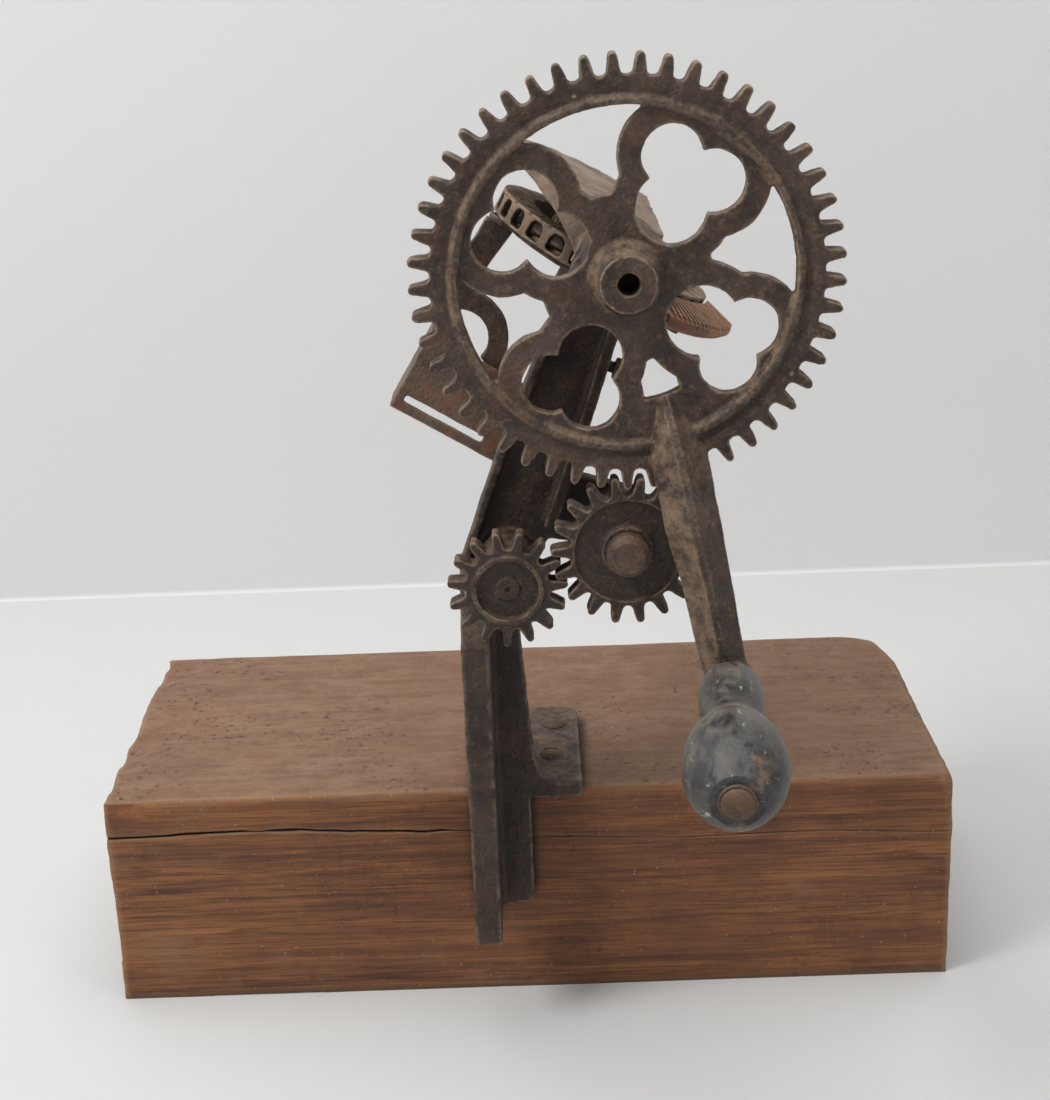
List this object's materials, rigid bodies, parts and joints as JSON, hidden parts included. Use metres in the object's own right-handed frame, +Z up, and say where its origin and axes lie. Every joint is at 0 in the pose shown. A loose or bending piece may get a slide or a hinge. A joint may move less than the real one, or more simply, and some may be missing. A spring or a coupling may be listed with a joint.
{
  "type": "knitting machine",
  "caption": "Hand-cranked bench knitting machine: cast gear train on an iron frame, tilted needle ring behind, bolted to a timber block.",
  "frame": {"origin": "centre of the timber block's base", "axes": "+Z up, -Y towards the crank side, +X to the right as seen from the crank"},
  "size_m": [0.4, 0.3534, 0.4397],
  "materials": {
    "timber": "old sawn timber, worn",
    "cast_iron": "rusty dark casting",
    "gear_iron": "rusty dark casting, tan wear on the teeth",
    "rust_sheet": "old sheet iron, rusted",
    "steel": "dull rusty steel",
    "fastener": "dull rusty steel",
    "bush": "dark oiled bronze",
    "handle": "turned wood, worn black paint",
    "comb": "orange-brown rust",
    "ring": "dusty tan iron",
    "hood": "tan-grey worn sheet"
  },
  "bodies": {
    "stand": {"timber_block": "timber", "main_frame": "cast_iron", "foot_screws": "fastener", "crank_bush": "bush", "idler_stud": "steel", "idler_nut": "fastener", "pinion_bush": "bush", "ring_stud": "steel", "ring_nut": "fastener", "ring_washer": "fastener", "ring_bed": "cast_iron", "comb_segment": "comb", "comb_screws": "fastener", "hood": "hood", "hood_screws": "fastener", "ring_bracket": "cast_iron", "bracket_bolts": "fastener", "side_bolt": "fastener", "tray": "rust_sheet", "tray_bolts": "fastener", "curved_arm": "cast_iron", "arm_bolt": "fastener", "arm_screw": "fastener"},
    "crank": {"crank_gear": "gear_iron", "crank_arbor": "steel", "arbor_collar": "steel", "drive_pinion": "gear_iron", "handle_spindle": "steel", "handle_washer": "steel"},
    "handle": {"handle_grip": "handle"},
    "idler": {"idler_gear": "gear_iron"},
    "pinion": {"pinion_gear": "gear_iron", "pinion_shaft": "steel", "winder_spool": "cast_iron", "spool_pin": "fastener"},
    "needle_head": {"needle_ring": "ring", "needles": "steel", "crown_gear": "gear_iron"}
  },
  "joints": [
    {"name": "crank_spin", "type": "hinge", "parent": "stand", "child": "crank", "pos_m": [0.0484, -0.134, 0.3536], "axis": [0, -1, 0], "continuous": true},
    {"name": "handle_spin", "type": "hinge", "parent": "crank", "child": "handle", "pos_m": [0.086, -0.1635, 0.19], "axis": [-0.0846, -0.9964, 0], "continuous": true},
    {"name": "idler_spin", "type": "hinge", "parent": "stand", "child": "idler", "pos_m": [0.04663, -0.134, 0.2406], "axis": [0, -1, 0], "continuous": true},
    {"name": "pinion_spin", "type": "hinge", "parent": "stand", "child": "pinion", "pos_m": [-0.00363, -0.134, 0.2255], "axis": [0, -1, 0], "continuous": true},
    {"name": "ring_spin", "type": "hinge", "parent": "stand", "child": "needle_head", "pos_m": [0.0434, -0.02, 0.34494], "axis": [0.5, 0, 0.866], "continuous": true}
  ],
  "couplings": [
    {"joint": "idler_spin", "follows": "crank_spin", "ratio": -2.7222},
    {"joint": "pinion_spin", "follows": "crank_spin", "ratio": 3.2667},
    {"joint": "ring_spin", "follows": "crank_spin", "ratio": 0.33333}
  ]
}
